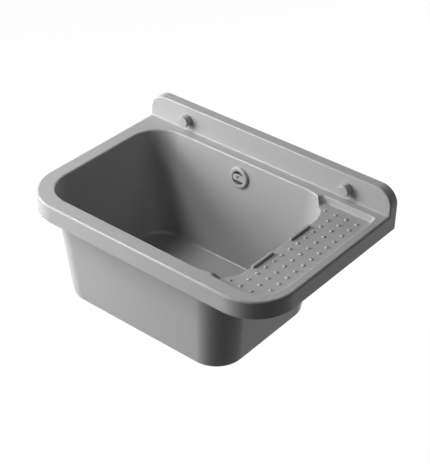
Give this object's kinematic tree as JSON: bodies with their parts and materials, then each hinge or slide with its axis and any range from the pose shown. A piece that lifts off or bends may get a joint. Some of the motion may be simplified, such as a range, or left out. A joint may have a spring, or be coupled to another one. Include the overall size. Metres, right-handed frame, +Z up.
{
  "type": "mop service sink",
  "caption": "Wall-hung moulded service sink with raised back panel, side drip tray, screw covers, overflow with ribbed hose and screw waste.",
  "frame": {"origin": "on the wall plane, on the centre line of the sink, level with the top of the rim", "axes": "+X to the right along the wall, +Y into the wall, +Z up"},
  "size_m": [0.5, 0.344, 0.3325],
  "materials": {
    "grey_plastic": "fine satin moulding",
    "cover_plastic": "satin",
    "fitting_plastic": "satin white",
    "elbow_plastic": "satin dark grey",
    "hose_plastic": "satin",
    "steel": "brushed",
    "brass": "turned",
    "seal_rubber": "matte black"
  },
  "bodies": {
    "sink": {"basin": "grey_plastic", "left_wall_bush": "fitting_plastic", "right_wall_bush": "fitting_plastic", "overflow_rosette": "cover_plastic", "overflow_screw": "steel", "overflow_gasket": "seal_rubber", "overflow_elbow": "elbow_plastic", "overflow_insert": "brass", "overflow_hose": "hose_plastic", "upper_hose_nut": "fitting_plastic", "upper_hose_seal": "seal_rubber", "lower_hose_nut": "fitting_plastic", "lower_hose_seal": "seal_rubber", "strainer_plate": "steel", "strainer_screw": "steel", "upper_waste_gasket": "seal_rubber", "lower_waste_gasket": "seal_rubber", "waste_body": "fitting_plastic", "waste_insert": "brass"},
    "left_cover": {"left_screw_cover": "cover_plastic"},
    "right_cover": {"right_screw_cover": "cover_plastic"}
  },
  "joints": [
    {"name": "left_cover_pull", "type": "slide", "parent": "sink", "child": "left_cover", "axis": [0, -1, 0], "range_m": [0, 0.03]},
    {"name": "right_cover_pull", "type": "slide", "parent": "sink", "child": "right_cover", "axis": [0, -1, 0], "range_m": [0, 0.03]}
  ]
}
